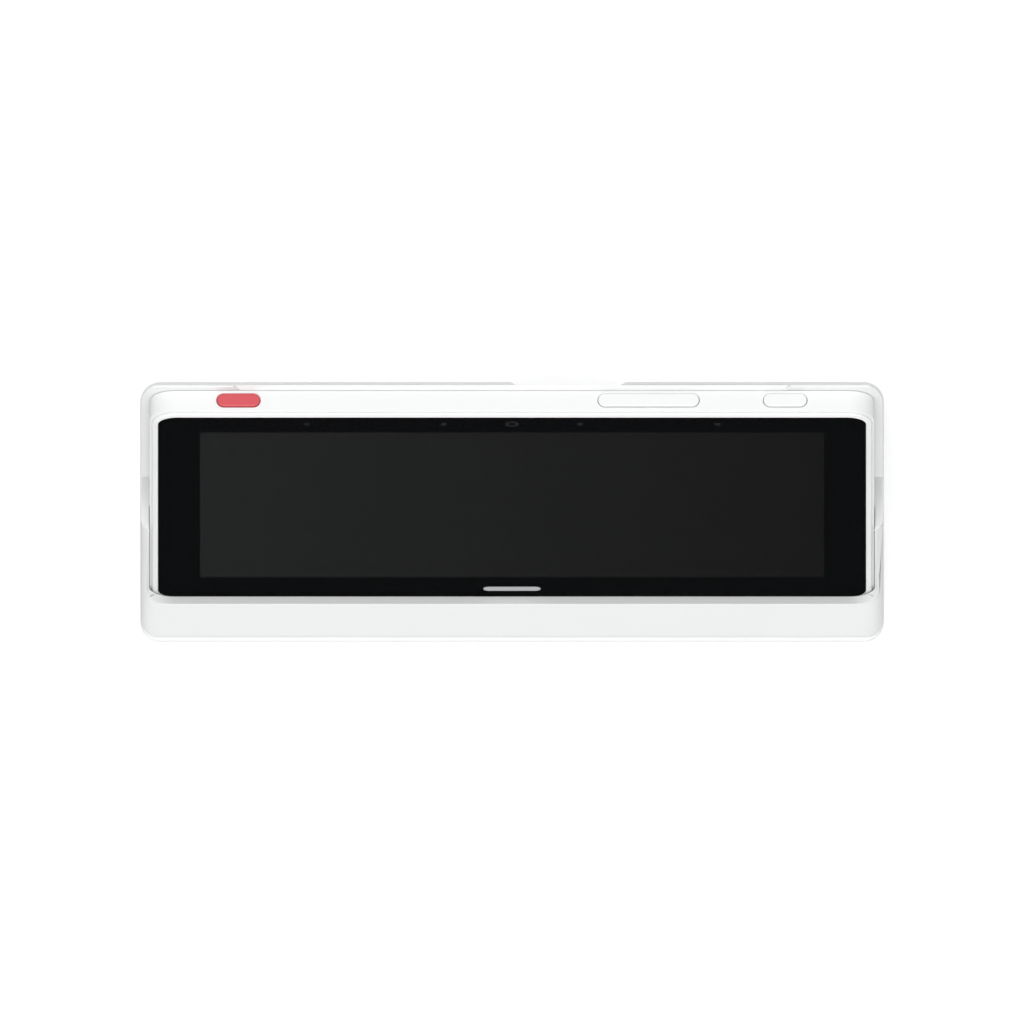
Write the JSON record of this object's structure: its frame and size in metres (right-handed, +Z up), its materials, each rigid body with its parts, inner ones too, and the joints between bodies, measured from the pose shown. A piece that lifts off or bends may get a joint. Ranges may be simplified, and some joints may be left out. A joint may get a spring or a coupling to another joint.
{
  "type": "smart home hub",
  "caption": "Smart home hub: a flat white display unit with edge buttons, leaning back in a wedge-shaped charging dock that it lifts out of.",
  "frame": {"origin": "centre of the footprint, on the surface the dock stands on", "axes": "+X to the viewer's right along the dock's length, +Y towards the back, +Z up; the screen faces -Y and up"},
  "size_m": [0.2052, 0.0716, 0.1413],
  "materials": {
    "dock_white": "fine satin moulded plastic, cool white",
    "casing_white": "satin moulded plastic, white",
    "lip_white": "semi-gloss white lip round the glass",
    "red_key": "satin coral red moulded key",
    "white_key": "satin white moulded key",
    "cover_glass": "clear cover glass over a black printed border and a dark screen",
    "display_panel": "dark unlit screen",
    "rubber_foot": "matt grey silicone",
    "steel": "plain steel",
    "aluminium": "stamped sheet",
    "contact_gold": "gold-plated brass",
    "circuit_board": "green solder mask",
    "black_plastic": "black moulded plastic",
    "battery_foil": "dark grey pouch foil"
  },
  "bodies": {
    "dock": {"dock_shell": "dock_white", "dock_base": "dock_white", "foot_pad_1": "rubber_foot", "foot_pad_2": "rubber_foot", "foot_pad_3": "rubber_foot", "foot_pad_4": "rubber_foot", "base_screw_1": "steel", "base_screw_2": "steel", "base_screw_3": "steel", "base_screw_4": "steel", "ballast_left": "steel", "ballast_right": "steel", "dock_circuit_board": "circuit_board", "power_socket": "steel", "contact_block": "black_plastic"},
    "display": {"rear_cover": "casing_white", "front_frame": "lip_white", "cover_glass": "cover_glass", "lcd_panel": "display_panel", "chassis_plate": "aluminium", "battery": "battery_foil", "main_board": "circuit_board", "shield_can": "steel", "speaker_left": "black_plastic", "speaker_right": "black_plastic", "antenna_left": "contact_gold", "antenna_right": "contact_gold", "sensor_module": "black_plastic", "pad_holder": "black_plastic", "alarm_switch": "black_plastic", "volume_down_switch": "black_plastic", "volume_up_switch": "black_plastic", "power_switch": "black_plastic", "button_board": "circuit_board", "microphone_1": "aluminium", "charge_pad_1": "contact_gold", "microphone_2": "aluminium", "charge_pad_2": "contact_gold", "microphone_3": "aluminium", "charge_pad_3": "contact_gold", "microphone_4": "aluminium", "charge_pad_4": "contact_gold"},
    "alarm_button": {"alarm_button": "red_key"},
    "volume_rocker": {"volume_rocker": "white_key"},
    "power_button": {"power_button": "white_key"},
    "contact_pins": {"contact_pin_1": "contact_gold", "contact_pin_2": "contact_gold", "contact_pin_3": "contact_gold", "contact_pin_4": "contact_gold"}
  },
  "joints": [
    {"name": "display_lift", "type": "slide", "parent": "dock", "child": "display", "axis": [0, 0.3707, 0.9287], "range_m": [0, 0.15]},
    {"name": "alarm_button_press", "type": "slide", "parent": "display", "child": "alarm_button", "axis": [0, -0.3707, -0.9287], "range_m": [0, 0.00035], "stiffness_N_per_m": 600, "springref_m": -0.0008},
    {"name": "volume_rocker_tilt", "type": "hinge", "parent": "display", "child": "volume_rocker", "pos_m": [0.0377, 0.03019, 0.1385], "axis": [0, -0.9287, 0.3707], "range_deg": [-1, 1], "stiffness_Nm_per_rad": 0.05},
    {"name": "power_button_press", "type": "slide", "parent": "display", "child": "power_button", "axis": [0, -0.3707, -0.9287], "range_m": [0, 0.00035], "stiffness_N_per_m": 600, "springref_m": -0.0008},
    {"name": "contact_pins_press", "type": "slide", "parent": "dock", "child": "contact_pins", "axis": [0, -0.3707, -0.9287], "range_m": [0, 0.0008], "stiffness_N_per_m": 400, "springref_m": -0.0006}
  ]
}
